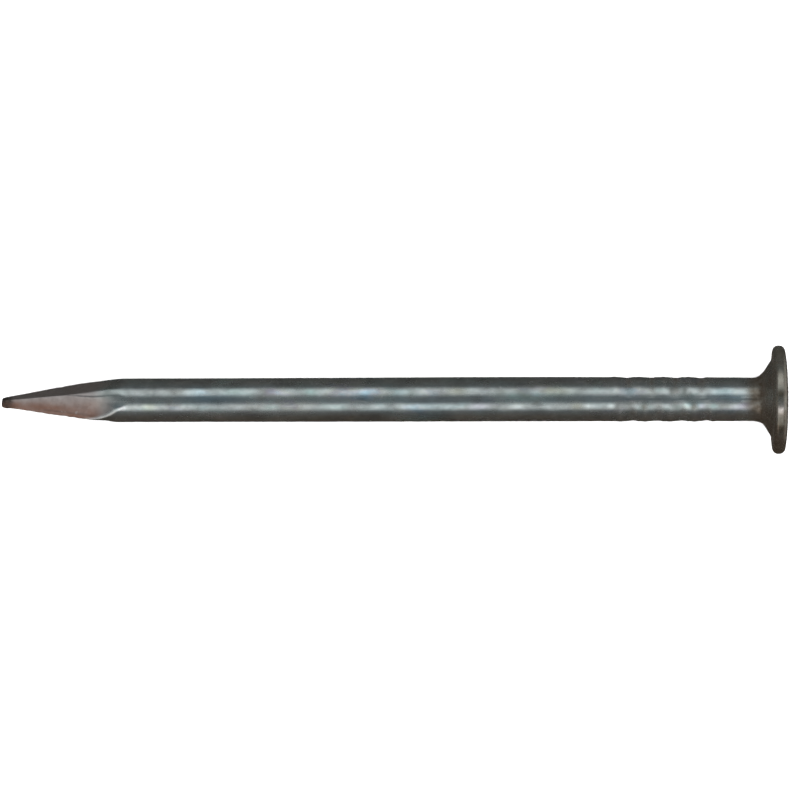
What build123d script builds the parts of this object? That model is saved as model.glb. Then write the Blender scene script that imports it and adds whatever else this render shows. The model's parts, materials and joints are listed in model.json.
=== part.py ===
from build123d import *

import os
from math import cos, radians, sin, sqrt, tan

# Common wire nail. The nail's axis lies along X, with the head at +X and the point at -X.
# The origin is the centre of the head's underside, the seat that stops the nail.
# Every size is in millimetres and every angle in degrees.

# Trade sizes
length_under_head = 44.45  # seat to tip
wire_diameter = 2.51  # 12 1/2 gauge wire
head_diameter = 6.35

# Head
head_edge = 0.75  # thickness at the rim
head_crown = 0.09  # rise of the struck face's flat land above the rim
land_diameter = 3.50  # flat land in the middle of the struck face
rim_flat = 0.09  # thickness that the two rounded edges of the rim leave between them
seat_width = 0.495  # flat ring between the neck cone and the rounded edge
neck_angle = 118.0  # included angle of the neck cone
neck_blend = 0.50  # radius between the neck cone and the shank

# Gripper marks: rounded grooves bitten across the shank by the two halves of the die
grip_start = 3.78  # seat to the first groove
grip_pitch = 1.42
grip_count = 4  # grooves on each half of the shank
grip_stagger = 0.34  # how far one half's grooves sit beyond the other half's
grip_depth = 0.05  # deepest bite, in the middle of each half
grip_tooth = 0.35  # radius of the die's tooth
grip_relief = 0.01  # gap left between the tooth and the shank where the die halves part

# Point: four facets pinched by dies with a rounded shoulder
point_length = 5.45  # tip to the start of the shoulder
point_half_angle = 6.85  # from the point's axis to a facet
shoulder_round = 7.0  # concave radius that leads each facet out of the shank
tip_flats = 0.40  # distance across the facets at the tip
tip_round = 0.10  # radius that rounds the cut end
tip_offset = 0.12  # how far the tip sits off the nail's axis, towards -Y
point_roll = 21.5  # turn of the first ridge from +Z towards +Y
facet_count = 4

# Sizes that follow from the ones above
shank_radius = wire_diameter / 2
head_radius = head_diameter / 2
land_radius = land_diameter / 2
rim_round = (head_edge - rim_flat) / 2
mouth_radius = head_radius - rim_round - seat_width
neck_half = radians(neck_angle / 2)
neck_height = (mouth_radius - shank_radius) / tan(neck_half)
face_height = head_edge + head_crown
facet_slope = tan(radians(point_half_angle))
facet_pitch = 360 / facet_count

# Room that a cutter needs beyond the surface it cuts
cutter_room = 1.0
cutter_reach = shank_radius + cutter_room


def crown_bulge(land, rim, rise):
    """Rise of the crown's arc halfway between the land and the rim, level with the land at its inner end."""
    run = rim - land
    radius = (run**2 + rise**2) / (2 * rise)
    half = run / 2
    return rise - (radius - sqrt(radius**2 - half**2))


def facet_plane(turn):
    """Sketch plane of one facet: X runs from the tip towards the head, Y is the facet's outward side."""
    along = Vector(point_length, tip_offset, 0).normalized()
    side = Vector(-along.Y, along.X, 0)
    up = Vector(0, 0, 1)
    outward = up * cos(radians(turn)) + side * sin(radians(turn))
    tip = Vector(-length_under_head, -tip_offset, 0)
    return Plane(origin=tip, x_dir=along, z_dir=along.cross(outward))


def grip_centre(tooth, side):
    """Distance from the seat to one groove's centre. side is +1 for the half towards +Y, -1 for the other."""
    stagger = grip_stagger if side > 0 else 0
    return grip_start + tooth * grip_pitch + stagger


with BuildPart() as nail:
    # Head, neck cone and shank are upset and drawn from one wire, so they share one turned profile.
    with BuildSketch(Plane.XY) as outline:
        with BuildLine():
            tip_end = (-length_under_head, 0)
            shank_end = (-length_under_head, shank_radius)
            neck_foot = (-neck_height, shank_radius)
            neck_top = (0, mouth_radius)
            seat_edge = (0, head_radius)
            face_edge = (head_edge, head_radius)
            halfway = (land_radius + head_radius) / 2
            crown_rise = crown_bulge(land_radius, head_radius, head_crown)
            crown_middle = (head_edge + crown_rise, halfway)
            land_edge = (face_height, land_radius)
            land_centre = (face_height, 0)
            Polyline(tip_end, shank_end, neck_foot, neck_top, seat_edge, face_edge)
            ThreePointArc(face_edge, crown_middle, land_edge)
            Polyline(land_edge, land_centre, tip_end)
        make_face()
        rim = outline.vertices().filter_by(lambda v: abs(v.Y - head_radius) < 1e-6)
        fillet(rim, radius=rim_round)
        foot = outline.vertices().sort_by_distance(Vector(*neck_foot))[0]
        fillet(foot, radius=neck_blend)
    revolve(axis=Axis.X)

    # Gripper marks: each half of the die leaves grooves that fade out where the halves part.
    for side in (1, -1):
        for tooth in range(grip_count):
            shift = grip_depth + grip_relief
            middle = (-grip_centre(tooth, side), -side * shift, 0)
            with BuildSketch(Plane(origin=middle, x_dir=(1, 0, 0), z_dir=(0, 0, 1))):
                with Locations((0, shank_radius + grip_relief + grip_tooth)):
                    Circle(grip_tooth)
            revolve(axis=Axis(middle, (1, 0, 0)), mode=Mode.SUBTRACT)

    # Point: each facet is straight from the tip, then curves out through the shank's surface.
    for n in range(facet_count):
        turn = point_roll + (n + 0.5) * facet_pitch
        start = tip_flats / 2 - cutter_room * facet_slope
        bend = tip_flats / 2 + point_length * facet_slope
        with BuildSketch(facet_plane(turn)):
            with BuildLine():
                straight = Line((-cutter_room, start), (point_length, bend))
                arc = JernArc(
                    start=straight @ 1,
                    tangent=straight % 1,
                    radius=shoulder_round,
                    arc_size=90 - point_half_angle,
                )
                top = (arc @ 1).Y + cutter_room
                corner = ((arc @ 1).X, top)
                Polyline(arc @ 1, corner, (-cutter_room, top), straight @ 0)
            make_face()
        extrude(amount=cutter_reach, both=True, mode=Mode.SUBTRACT)

    # Blunt end left where the dies part the point from the wire.
    end = nail.faces().sort_by(Axis.X)[0]
    fillet(end.edges(), radius=tip_round)

nail.part.label = "nail"

os.makedirs("parts", exist_ok=True)
export_step(nail.part, "parts/nail.step")
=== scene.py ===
"""Looks of a bright common wire nail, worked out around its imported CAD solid.

Sizes inside the classes are in millimetres, in the CAD's own frame: X runs along the nail with the head
at +X, the seat under the head is at x = 0, and an angle about X is measured from +Z towards +Y. Meshes
are written in metres.
"""

import json
import logging
from dataclasses import dataclass, field
from enum import Enum
from math import cos, pi, radians, sin, tan
from typing import Any

import bpy
import numpy as np
from mathutils import Matrix, Vector


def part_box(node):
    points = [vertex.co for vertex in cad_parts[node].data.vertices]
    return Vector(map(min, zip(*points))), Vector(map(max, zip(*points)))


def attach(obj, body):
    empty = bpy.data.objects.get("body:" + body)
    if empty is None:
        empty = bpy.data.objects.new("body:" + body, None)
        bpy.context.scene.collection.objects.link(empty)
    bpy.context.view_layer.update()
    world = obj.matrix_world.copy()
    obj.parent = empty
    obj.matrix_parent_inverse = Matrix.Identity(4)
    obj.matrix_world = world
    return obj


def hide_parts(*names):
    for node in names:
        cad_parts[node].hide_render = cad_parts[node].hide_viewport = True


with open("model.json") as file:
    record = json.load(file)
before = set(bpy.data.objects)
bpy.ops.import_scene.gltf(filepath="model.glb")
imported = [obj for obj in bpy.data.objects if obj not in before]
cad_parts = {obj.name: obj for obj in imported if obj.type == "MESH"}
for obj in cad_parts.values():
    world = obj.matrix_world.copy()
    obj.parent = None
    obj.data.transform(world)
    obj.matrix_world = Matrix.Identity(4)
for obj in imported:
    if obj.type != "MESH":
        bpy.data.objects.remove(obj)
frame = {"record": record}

LOG = logging.getLogger("nail")
MM = 0.001
NODE = "nail"
BODY = "root"
ORIGIN = (0.0, 0.0, 0.0)
# The fourth mask also paints a highlight along the point's lower border, and the fifth paints a warm
# reflection on the lower side, partly oxide on the head's rim.
MASKS = ("upset", "pinched", "hollow", "edge", "bloom")
Array = np.ndarray
Colour = tuple[float, float, float]
Waves = tuple[tuple[float, int, float], ...]
Socket = bpy.types.NodeSocket
Tree = bpy.types.NodeTree


# ==== Small maths shared by the shapes ====


def ease(low: float, high: float, value: Array) -> Array:
    """Smooth step: 0 below low, 1 above high, and 3t^2 - 2t^3 between them.

    Args:
        low: value at which the step leaves 0.
        high: value at which it reaches 1.
        value: where to read it.

    Returns:
        The step at each value.
    """
    share = np.clip((value - low) / (high - low), 0.0, 1.0)
    return share * share * (3.0 - 2.0 * share)


def bell(value: Array, centre: float | Array, width: float) -> Array:
    """Bell curve exp(-((value - centre) / width)^2)."""
    return np.exp(-(((value - centre) / width) ** 2))


def from_turn(angle: Array, turn: float) -> Array:
    """Degrees from turn, between -180 and 180, of each angle in radians."""
    return (np.degrees(angle) - turn + 180.0) % 360.0 - 180.0


def onward(start: float, end: float, count: int) -> Array:
    """Evenly spaced values after start, as many as count, of which the last is end."""
    return np.linspace(start, end, count + 1)[1:]


def across(row: Array, angle: Array) -> Array:
    """One value per row, repeated for every column."""
    return np.repeat(row[:, None], angle.shape[1], axis=1)


def waves_round(angle: Array, waves: Waves) -> Array:
    """Sum of size * cos(order * (angle - phase)) over the waves."""
    return sum(size * np.cos(order * (angle - phase)) for size, order, phase in waves)


def blunt_min(first: Array, second: Array, blend: float) -> Array:
    """Smaller of two fields, with the crease between them rounded over a depth of blend / 4.

    Where the fields differ by less than blend, the smaller is lowered by h^2 * blend / 4, with
    h = (blend - |first - second|) / blend.

    Args:
        first: one field.
        second: the other field.
        blend: how close the two are where the rounding starts.

    Returns:
        The rounded minimum.
    """
    near = np.clip(blend - np.abs(first - second), 0.0, None) / blend
    return np.minimum(first, second) - near * near * blend / 4.0


@dataclass(frozen=True)
class Ripple:
    """Seeded waviness of a surface that closes on itself round the nail's axis.

    The height is a sum of waves cos(k x + n a + p): k is a whole turn over a random wavelength along
    X, n a whole number of waves round the axis, and p a random phase. It stays within about -1 to 1.
    """

    seed: int
    shortest: float
    longest: float
    orders: tuple[int, ...] = (0, 1, 2, 3)
    waves: int = 24

    def at(self, x: Array, angle: Array) -> Array:
        """Height of the waviness.

        Args:
            x: place along the nail, in millimetres.
            angle: angle about the axis, in radians.

        Returns:
            The height at each place, about -1 to 1.
        """
        draw = np.random.default_rng(self.seed)
        length = draw.uniform(self.shortest, self.longest, self.waves)
        order = draw.choice(np.array(self.orders), self.waves)
        phase = draw.uniform(0.0, 2.0 * pi, self.waves)
        flip = draw.choice(np.array([-1.0, 1.0]), self.waves)
        total = np.zeros(np.broadcast(x, angle).shape)
        for n in range(self.waves):
            total += np.cos(2.0 * pi * x / length[n] + flip[n] * order[n] * angle + phase[n])
        return total / np.sqrt(2.0 * self.waves)


# ==== The nail's shape ====


@dataclass
class Skin:
    """Rows of the surface, from the struck face to the tip.

    x, radius and each mask are arrays of one value per row and column.
    """

    x: Array
    radius: Array
    upset: Array
    pinched: Array
    hollow: Array
    edge: Array
    bloom: Array

    @staticmethod
    def joined(parts: list["Skin"]) -> "Skin":
        """The parts' rows, one after another."""
        return Skin(*(np.vstack([getattr(p, n) for p in parts]) for n in ("x", "radius", *MASKS)))


@dataclass
class Columns:
    """Angles of the mesh's columns, closer together beside the point's four ridges.

    In each quarter turn the angle is 90 (u - crowding sin(2 pi u)) degrees past a ridge, with u from 0
    to 1, so a column falls on every ridge.
    """

    first_ridge: float
    per_quarter: int = 42
    crowding: float = 0.085

    def angles(self) -> Array:
        """The columns' angles about the axis, in radians, as one row.

        Returns:
            One row of angles.
        """
        share = np.arange(self.per_quarter) / self.per_quarter
        quarter = share - self.crowding * np.sin(2.0 * pi * share)
        turns = (np.arange(4)[:, None] + quarter[None, :]).ravel()
        return (radians(self.first_ridge) + turns * pi / 2.0)[None, :]


@dataclass
class Head:
    """Upset head: slightly crowned struck face, rounded rim, flat seat and the cone of the neck.

    round_waves and wander_waves hold the size, order and phase of waves round the axis. dent_waves
    hold a size, the radians per millimetre along Y and along Z, and a phase.
    """

    radius: float
    face_height: float
    shank_radius: float
    crown: float = 0.09
    land: float = 1.75
    rim_flat: float = 0.09
    seat_width: float = 0.495
    neck_half_angle: float = 59.0
    neck_blend: float = 0.85
    neck_end: float = -1.80
    neck_shift: float = 0.070
    die_end: float = -1.05
    rim_shift: float = 0.055
    out_of_round: float = 0.018
    round_waves: Waves = ((-0.35, 2, 0.7), (-0.15, 3, -0.4))
    rim_wander: float = 0.030
    wander_waves: Waves = ((0.35, 1, 2.3), (0.15, 2, -0.4))
    rim_ripple: Ripple = Ripple(31, 60.0, 90.0, (5, 7, 9, 12))
    rim_ripple_depth: float = 0.010
    nick: float = 0.042
    nick_turn: float = -17.5
    nick_width: float = 7.0
    face_dents: float = 0.007
    dent_waves: tuple[tuple[float, float, float, float], ...] = (
        (1.0, 2.9, 1.3, 0.6),
        (1.0, -1.7, 3.7, 2.2),
        (0.7, 5.1, -4.2, 4.0),
        (0.5, 0.0, 8.3, 1.1),
    )
    ring_centre: tuple[float, float] = (0.12, -0.08)
    ring_radius: float = 1.28
    ring_width: float = 0.05
    ring_depth: float = 0.010
    flash_height: float = 0.020
    flash_width: float = 0.10
    rows_on_land: int = 15
    rows_on_crown: int = 13
    rows_on_round: int = 12
    rows_on_seat: int = 7
    rows_on_cone: int = 12
    rows_on_blend: int = 11
    rows_on_wire: int = 6

    def profile(self) -> tuple[Array, Array]:
        """Half section of the head, from the middle of the struck face to the plain shank.

        It is the crown's arc, the rim's two quarter rounds with a short flat between them, the flat
        seat, the neck's cone and the arc that leads the cone into the shank.

        Returns:
            Place along X and radius of each row.
        """
        edge_height = self.face_height - self.crown
        rounding = (edge_height - self.rim_flat) / 2.0
        shoulder = self.radius - rounding
        mouth = shoulder - self.seat_width
        run = shoulder - self.land
        arc = (run**2 + self.crown**2) / (2.0 * self.crown)

        land_r = onward(0.0, self.land, self.rows_on_land)
        face_r = np.concatenate([[0.0], land_r, onward(self.land, shoulder, self.rows_on_crown)])
        out = np.clip(face_r - self.land, 0.0, None)
        face_x = self.face_height - (arc - np.sqrt(arc**2 - out**2))

        turn = onward(0.0, pi / 2.0, self.rows_on_round)
        outer_x = edge_height - rounding * (1.0 - np.cos(turn))
        outer_r = shoulder + rounding * np.sin(turn)
        inner_x = rounding * (1.0 - np.sin(turn))
        inner_r = shoulder + rounding * np.cos(turn)
        seat_r = onward(shoulder, mouth, self.rows_on_seat)
        seat_x = np.zeros_like(seat_r)

        slope = radians(self.neck_half_angle)
        tangent = self.neck_blend * tan(slope / 2.0)
        foot = -(mouth - self.shank_radius) / tan(slope)
        cone_x = onward(0.0, foot + tangent * cos(slope), self.rows_on_cone)
        cone_r = onward(mouth, self.shank_radius + tangent * sin(slope), self.rows_on_cone)
        bend = onward(slope, 0.0, self.rows_on_blend)
        blend_x = foot - tangent + self.neck_blend * np.sin(bend)
        blend_r = self.shank_radius + self.neck_blend * (1.0 - np.cos(bend))
        wire_x = onward(foot - tangent, self.neck_end, self.rows_on_wire)
        wire_r = np.full_like(wire_x, self.shank_radius)

        x = np.concatenate([face_x, outer_x, inner_x, seat_x, cone_x, blend_x, wire_x])
        r = np.concatenate([face_r, outer_r, inner_r, seat_r, cone_r, blend_r, wire_r])
        return x, r

    def skin(self, angle: Array) -> Skin:
        """The head's rows with the forging's own irregularities.

        The rim is pulled in by waves, by a shift off the axis and by a nick, and the seat and rim
        wander along X, all in proportion to how far out the row lies. The neck's cone sits off the
        axis. Dents and a faint ring sink the struck face. The die's parting line leaves a low ridge
        at +Z and -Z under the head. A warm tint on the rim's -Y side is partly oxide and partly a
        painted warm reflection.

        Args:
            angle: the columns' angles.

        Returns:
            The head's part of the surface.
        """
        x_row, r_row = self.profile()
        x, r = across(x_row, angle), across(r_row, angle)
        far = ease(self.shank_radius + 0.3, self.radius, r)

        r -= self.out_of_round * far * (0.5 + waves_round(angle, self.round_waves))
        r -= self.rim_shift * far * (0.5 + 0.5 * np.sin(angle))
        r -= self.nick * far * bell(from_turn(angle, self.nick_turn), 0.0, self.nick_width)
        r -= self.rim_ripple_depth * far * np.clip(0.5 + 0.5 * self.rim_ripple.at(x, angle), 0.0, 1.0)
        cone = ease(self.shank_radius, self.shank_radius + 0.25, r) * ease(2.6, 2.1, r)
        r += self.neck_shift * cone * ease(0.05, -0.05, x) * np.sin(angle)

        wander = waves_round(angle, self.wander_waves)
        on_face = ease(0.30, 0.62, x)
        x -= self.rim_wander * far * (0.5 + wander) * on_face
        x += self.rim_wander * far * wander * (1.0 - on_face) * 0.6

        y, z = r * np.sin(angle), r * np.cos(angle)
        dents = sum(size * np.cos(by_y * y + by_z * z + phase) for size, by_y, by_z, phase in self.dent_waves)
        x -= self.face_dents * on_face * np.clip(0.5 + 0.2 * dents, 0.0, None) * (1.0 - 0.7 * far)
        from_middle = np.hypot(y - self.ring_centre[0], z - self.ring_centre[1])
        ring = bell(from_middle, self.ring_radius, self.ring_width)
        x -= self.ring_depth * on_face * ring * (0.65 + 0.35 * np.cos(angle + 1.0))

        under = ease(0.02, -0.10, x) * ease(self.radius - 0.35, self.radius - 0.60, r)
        flash = bell(np.abs(np.sin(angle)) * r, 0.0, self.flash_width) * under
        r += self.flash_height * flash * (0.8 + 0.2 * np.cos(angle))

        corner = bell(x, 0.02, 0.10) * bell(r, self.radius - 0.86, 0.20)
        foot = bell(r, self.shank_radius + 0.12, 0.20) * ease(-1.7, -1.1, x)
        rim = ease(self.radius - 0.30, self.radius - 0.10, r + self.rim_shift)
        return Skin(
            x=x,
            radius=r,
            upset=ease(self.neck_end, self.die_end, x),
            pinched=np.zeros_like(x),
            hollow=np.clip(0.8 * corner + foot, 0.0, 1.0),
            edge=np.clip(0.35 * rim + 0.2 * flash, 0.0, 1.0),
            # Warm tint on the rim's lower side: partly oxide, partly a painted warm reflection.
            bloom=ease(0.2, 1.0, -np.sin(angle)) * ease(2.4, 3.1, r),
        )


@dataclass
class GripperMarks:
    """Grooves that the gripping dies bite across the shank, with the lips raised beside them.

    Each half of the shank has its own row of marks. A mark's strength falls off towards the parting
    line as the sine of the angle from it, raised to a small power. skew tilts a mark by up to that
    much along X, and the spreads are the least and most of a mark's random share of bite and lip.
    """

    seed: int = 5
    start: float = 3.78
    pitch: float = 1.42
    stagger: float = 0.34
    count: int = 4
    skew: float = 0.10
    fade: float = 0.75
    bite: float = 0.036
    bite_width: float = 0.24
    bite_spread: tuple[float, float] = (0.70, 1.15)
    lip: float = 0.030
    lip_width: float = 0.17
    lip_spread: tuple[float, float] = (0.65, 1.20)
    burr_share: float = 0.6
    burr_from_groove: float = 0.33
    burr_width: float = 0.13

    def relief(self, x: Array, angle: Array) -> tuple[Array, Array, Array]:
        """Height of the marks, with masks of their bottoms and crests.

        Args:
            x: place along the nail.
            angle: angle about the axis.

        Returns:
            Change of radius, hollow mask and crest mask.
        """
        draw = np.random.default_rng(self.seed)
        height, hollow, crest = (np.zeros_like(x) for _ in range(3))
        for side in (1.0, -1.0):
            reach = np.clip(side * np.sin(angle), 0.0, 1.0) ** self.fade
            offset = self.stagger if side > 0 else 0.0
            for n in range(self.count):
                skew = draw.uniform(-self.skew, self.skew)
                bite = self.bite * draw.uniform(*self.bite_spread)
                lip = self.lip * draw.uniform(*self.lip_spread)
                centre = -(self.start + offset + n * self.pitch) + skew * np.cos(angle)
                groove = bell(x, centre, self.bite_width) * reach
                ridge = bell(x, centre - self.pitch / 2.0, self.lip_width) * reach
                burr = bell(x, centre + self.burr_from_groove, self.burr_width) * reach
                height += lip * ridge - bite * groove + self.burr_share * lip * burr
                hollow += groove
                crest += ridge
        return height, np.clip(hollow, 0.0, 1.0), np.clip(crest, 0.0, 1.0)


@dataclass
class Shank:
    """Drawn wire between the neck and the point, with the gripper marks near the head."""

    radius: float
    start: float
    end: float
    marks: GripperMarks = field(default_factory=GripperMarks)
    marks_from: float = -3.2
    marks_to: float = -9.6
    rows_to_marks: int = 17
    rows_on_marks: int = 165
    rows_past_marks: int = 131
    swell: float = 0.018
    swell_x: float = -16.0
    swell_length: float = 12.0
    sway: float = 0.004
    sway_waves: Ripple = Ripple(11, 7.0, 26.0, (1, 2))
    dent: float = 0.003
    dent_waves: Ripple = Ripple(12, 0.9, 3.2, (1, 2, 3, 4, 5))
    flash_height: float = 0.010
    flash_width: float = 0.07
    flash_waves: Ripple = Ripple(13, 0.5, 1.6, (0,))

    def rows(self) -> Array:
        """Places of the rows along X, closer together at the gripper marks.

        Returns:
            The places, from the neck to the point.
        """
        neck = onward(self.start, self.marks_from, self.rows_to_marks)
        marked = onward(self.marks_from, self.marks_to, self.rows_on_marks)
        plain = onward(self.marks_to, self.end, self.rows_past_marks)
        return np.concatenate([neck, marked, plain])

    def relief(self, x: Array, angle: Array) -> tuple[Array, Array, Array]:
        """Change of radius of the drawn wire, with its hollow and crest masks.

        The wire swells a little in its first half, sways by long waves and carries shallow dents. A
        low flash line runs along +Z and -Z from the neck until it fades out past the gripper marks.

        Args:
            x: place along the nail.
            angle: angle about the axis.

        Returns:
            Change of radius, hollow mask and crest mask.
        """
        marks, hollow, crest = self.marks.relief(x, angle)
        clear = ease(-1.0, -2.4, x)
        height = self.swell * bell(x, self.swell_x, self.swell_length) * (1.5 + 0.5 * np.sin(angle))
        height += self.sway * self.sway_waves.at(x, angle) * clear
        height += self.dent * self.dent_waves.at(x, angle) * clear
        parting = np.abs(np.sin(angle)) * self.radius
        flash = bell(parting, 0.0, self.flash_width) * ease(-9.4, -7.6, x)
        height += self.flash_height * flash * (0.75 + 0.25 * self.flash_waves.at(x, angle))
        return marks + height, hollow, crest

    def skin(self, angle: Array) -> Skin:
        """The shank's part of the surface.

        Args:
            angle: the columns' angles.

        Returns:
            The shank's rows.
        """
        x = across(self.rows(), angle)
        height, hollow, crest = self.relief(x, np.broadcast_to(angle, x.shape))
        none = np.zeros_like(x)
        return Skin(x, self.radius + height, none, none, 0.8 * hollow, 0.8 * crest, none)


@dataclass
class Facet:
    """One pinched facet: its middle's turn, and its shoulder's radius, place along the nail and skew.

    skew is how much further from the tip the shoulder starts per unit sine of the angle past the
    facet's middle.
    """

    turn: float
    shoulder: float
    setback: float
    skew: float = 0.0


@dataclass
class Point:
    """Diamond point: four pinched facets that the shank's round surface runs out into."""

    shank_radius: float
    length_under_head: float
    start: float
    first_ridge: float = 21.5
    half_angle: float = 6.85
    straight: float = 5.45
    tip_flats: float = 0.40
    tip_offset: float = 0.12
    end_round: float = 0.12
    end_slant: float = 0.12
    sharp_crease: float = 0.045
    round_crease: float = 0.75
    runout: float = 0.34
    low_runout: float = 0.12
    drag: float = 0.004
    drag_waves: Ripple = Ripple(21, 0.25, 0.9, (0, 4, 8))
    swell: float = 0.006
    swell_waves: Ripple = Ripple(22, 1.2, 3.0, (4,))
    flash_height: float = 0.045
    flash_width: float = 0.02
    flash_waves: Ripple = Ripple(23, 0.25, 0.8, (0, 1))
    burr_height: float = 0.045
    burr_from_tip: float = 0.30
    burr_width: float = 0.17
    bead: float = 0.010
    flanks_from: float = 5.10
    nose_from: float = 0.90
    end_from: float = 0.13
    rows_on_shoulder: int = 83
    rows_on_flanks: int = 45
    rows_on_nose: int = 21
    rows_on_end: int = 11
    facets: tuple[Facet, ...] = (
        Facet(66.5, 7.0, -0.45),
        Facet(156.5, 6.0, 0.10),
        Facet(246.5, 0.8, 0.50),
        Facet(336.5, 4.6, -0.35, 0.9),
    )

    def rows(self) -> Array:
        """Places of the rows along X: closest at the shoulder and at the tip.

        Returns:
            The places, from the shank to the tip.
        """
        tip = -self.length_under_head
        shoulder = onward(self.start, tip + self.flanks_from, self.rows_on_shoulder)
        flanks = onward(tip + self.flanks_from, tip + self.nose_from, self.rows_on_flanks)
        nose = onward(tip + self.nose_from, tip + self.end_from, self.rows_on_nose)
        end = tip + self.end_from * (1.0 - np.sin(onward(0.0, pi / 2.0, self.rows_on_end)))
        return np.concatenate([shoulder, flanks, nose, end])

    def facet_radius(self, x: Array, angle: Array) -> tuple[Array, Array]:
        """Radius at which the facets cut each direction, and how near the direction is to a ridge.

        A facet whose middle lies at turn f is a plane at distance d from the point's axis, so it
        cuts the direction a at (d + shift) / cos(a - f). d grows with the distance s from the tip as
        half the tip's flats + s tan(half angle), then as a parabola with the shoulder's radius,
        which starts later towards one side by the facet's skew times sin(a - f). The shift carries
        the point's axis off the nail's, by tip_offset at the tip and nothing at the shoulder. The
        two ridges inside the pinching dies are rounded, the two where the dies part are sharp.

        Args:
            x: place along the nail.
            angle: angle about the axis.

        Returns:
            The radius, and a ridge mask.
        """
        s = x + self.length_under_head
        slope = tan(radians(self.half_angle))
        drift = -self.tip_offset * (1.0 - s / self.straight)
        inside = np.abs(np.cos(angle - radians(self.first_ridge))) ** 6
        widest = (self.round_crease - self.sharp_crease) * ease(3.4, 5.8, s)
        crease = self.sharp_crease + widest * inside
        best = np.full(x.shape, 40.0)
        second = np.full(x.shape, 40.0)
        for facet in self.facets:
            turn = radians(facet.turn)
            begin = self.straight + facet.setback + facet.skew * np.sin(angle - turn)
            past = np.clip(s - begin, 0.0, None)
            d = self.tip_flats / 2.0 + s * slope + past**2 / (2.0 * facet.shoulder)
            cut = (d + sin(turn) * drift) / np.clip(np.cos(angle - turn), 0.02, None)
            second = np.minimum(second, np.maximum(best, cut))
            best = blunt_min(best, cut, crease)
        return best, bell(second - best, 0.0, 0.06)

    def skin(self, angle: Array, shank: Shank) -> Skin:
        """The point's part of the surface, with pinching marks, flash on the ridges and the tip's burr, a
        painted highlight along its lower border and a painted warm reflection on its lower side.

        Args:
            angle: the columns' angles.
            shank: gives the round wire that the facets cut.

        Returns:
            The point's rows.
        """
        x = across(self.rows(), angle)
        a = np.broadcast_to(angle, x.shape)
        s = x + self.length_under_head
        side = np.sin(a)
        low_side = ease(-0.10, -0.50, side)
        wire = self.shank_radius + shank.relief(x, a)[0]
        cut, ridge = self.facet_radius(x, a)

        drag = self.drag * self.drag_waves.at(x, a) * ease(6.0, 5.0, s)
        cut += (drag + self.swell * self.swell_waves.at(x, a)) * ease(0.2, 1.2, s)
        parting = np.abs(np.sin(a - radians(self.first_ridge)))
        along = (0.35 + 0.65 * ease(0.0, -1.0, side)) * ease(1.0, 3.4, s) * ease(5.9, 5.0, s) + 0.25
        ragged = 0.75 + 0.25 * self.flash_waves.at(x, a)
        cut += self.flash_height * along * bell(parting, 1.0, self.flash_width) * ragged
        burr = bell(s, self.burr_from_tip, self.burr_width) * (0.60 + 0.40 * np.cos(a + 0.6))
        cut += self.burr_height * burr

        # Lower border of the facets: a low bead, and a painted highlight through the fourth mask.
        border = bell(wire - cut, 0.01, 0.075) * low_side * ease(4.8, 5.4, s)
        runout = self.runout + (self.low_runout - self.runout) * low_side
        r = blunt_min(wire, cut, runout) + self.bead * border
        end = np.clip(1.0 - s / self.end_round, 0.0, 1.0)
        r *= (1.0 - end**3) ** (1.0 / 3.0)
        lean = self.end_slant * (r * side + self.tip_offset + 0.25)
        x += np.clip(lean, 0.0, None) * ease(0.6, 0.0, s)

        pressed = ease(-0.012, 0.30 - 0.12 * low_side, wire - cut)
        ridge *= ease(self.straight + 0.25, self.straight - 0.25, s) * parting**30
        return Skin(
            x=x,
            radius=r,
            upset=np.zeros_like(x),
            pinched=pressed * (1.0 - 0.5 * ease(5.2, 6.5, s)),
            hollow=np.clip(0.9 * burr + ease(0.95, 0.40, s), 0.0, 1.0),
            # Rubbed ridges, and a painted highlight along the lower border.
            edge=np.clip(0.25 * ridge + 0.55 * border, 0.0, 1.0),
            # Warm tint on the point's lower side: a painted warm reflection.
            bloom=ease(0.45, -0.95, side) * ease(7.0, 5.2, s),
        )


class Tone(Enum):
    """Tints of the oil and oxide film on the wire, as what they do to the steel's colour, and three tones
    that paint light: a grey for painted shade, a dark tone that darkens the tip and paints shade on the
    head's rim and the gripper marks, and a bright tone for painted highlights.
    """

    CLEAR = (1.00, 1.00, 1.00)
    SKY = (0.92, 1.02, 1.06)
    SEA = (0.90, 1.02, 1.00)
    INK = (0.80, 0.95, 1.05)
    LILAC = (1.02, 0.95, 1.04)
    STRAW = (1.04, 1.00, 0.88)
    # Painted shade: a grey that dims the steel's highlight bands and the head's rim.
    SMOKE = (0.86, 0.84, 0.82)
    # Darkens the tip, and paints shade on the head's rim and on the lower highlight band across the gripper
    # marks.
    DARK_AND_SHADE = (0.48, 0.42, 0.35)
    # Painted highlight: brighter than bare steel, for bright spots on the highlight bands, the point's
    # shoulder and the head's rim.
    PAINTED_HIGHLIGHT = (1.30, 1.31, 1.29)


@dataclass(frozen=True)
class StainAndLightPatch:
    """One soft patch of film tint and painted light on the wire: where it is, how far it reaches, its tone
    and how polished it is.

    turn and width are in degrees about the axis. polish runs from -1, dull, to 1, burnished; it also darkens
    a dull patch's colour, a painted shade, and brightens a burnished one's, a painted highlight.
    """

    x: float
    turn: float
    length: float
    width: float
    tone: Tone
    polish: float

    def share(self, x: Array, angle: Array) -> Array:
        """How strongly the patch covers each place: a bell along X times a bell about the axis."""
        return bell(x, self.x, self.length) * bell(from_turn(angle, self.turn), 0.0, self.width)


# Patches of film tint and painted light. Those near -20 and +22 degrees lie on the steel's two highlight
# bands and those at 3 degrees on the dark band between them: there a burnished patch paints a highlight and a
# dull one paints shade.
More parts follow.
